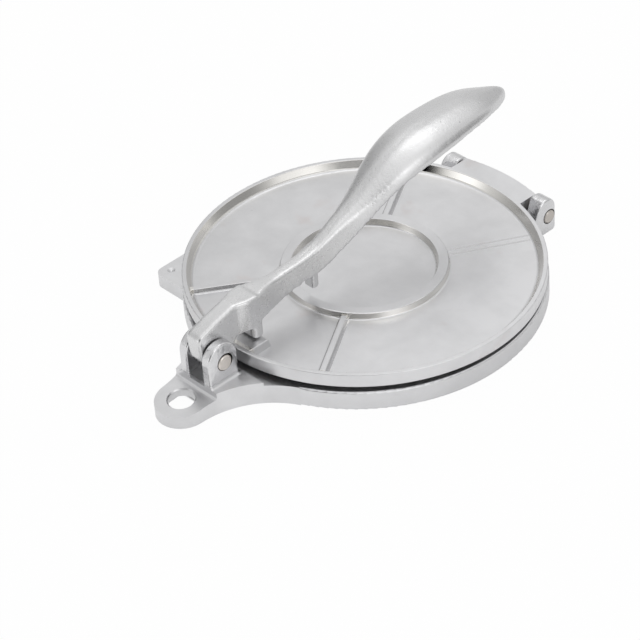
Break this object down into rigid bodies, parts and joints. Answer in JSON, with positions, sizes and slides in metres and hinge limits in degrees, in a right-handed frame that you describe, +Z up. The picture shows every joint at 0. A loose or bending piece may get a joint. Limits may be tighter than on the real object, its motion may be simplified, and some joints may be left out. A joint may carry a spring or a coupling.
{
  "type": "tortilla press",
  "caption": "Cast aluminium hand press: two round hinged plates closed by a long lever on a front clevis, with a hanging hole in the front tongue.",
  "frame": {"origin": "centre of the base disc, on the surface the press stands on", "axes": "+Z up through the hanging hole, +Y towards the rear hinge, +X to the right seen from the lever's pivot"},
  "size_m": [0.201, 0.2643, 0.0881],
  "materials": {
    "base_casting": "satin as-cast aluminium",
    "plate_casting": "satin cast aluminium with a polished rim",
    "lever_casting": "tumbled cast aluminium",
    "pin_steel": "plain bright steel"
  },
  "bodies": {
    "base": {"base_plate": "base_casting", "front_pin": "pin_steel", "rear_hinge_pin": "pin_steel"},
    "upper_plate": {"press_plate": "plate_casting"},
    "lever": {"lever_handle": "lever_casting"}
  },
  "joints": [
    {"name": "lever_swing", "type": "hinge", "parent": "base", "child": "lever", "pos_m": [0, -0.1133, 0.0252], "axis": [1, 0, 0], "range_deg": [0, 90]},
    {"name": "plate_hinge", "type": "hinge", "parent": "base", "child": "upper_plate", "pos_m": [0, 0.1077, 0.0105], "axis": [-1, 0, 0], "range_deg": [0, 9]}
  ],
  "couplings": [
    {"joint": "plate_hinge", "follows": "lever_swing", "ratio": 0.1}
  ]
}
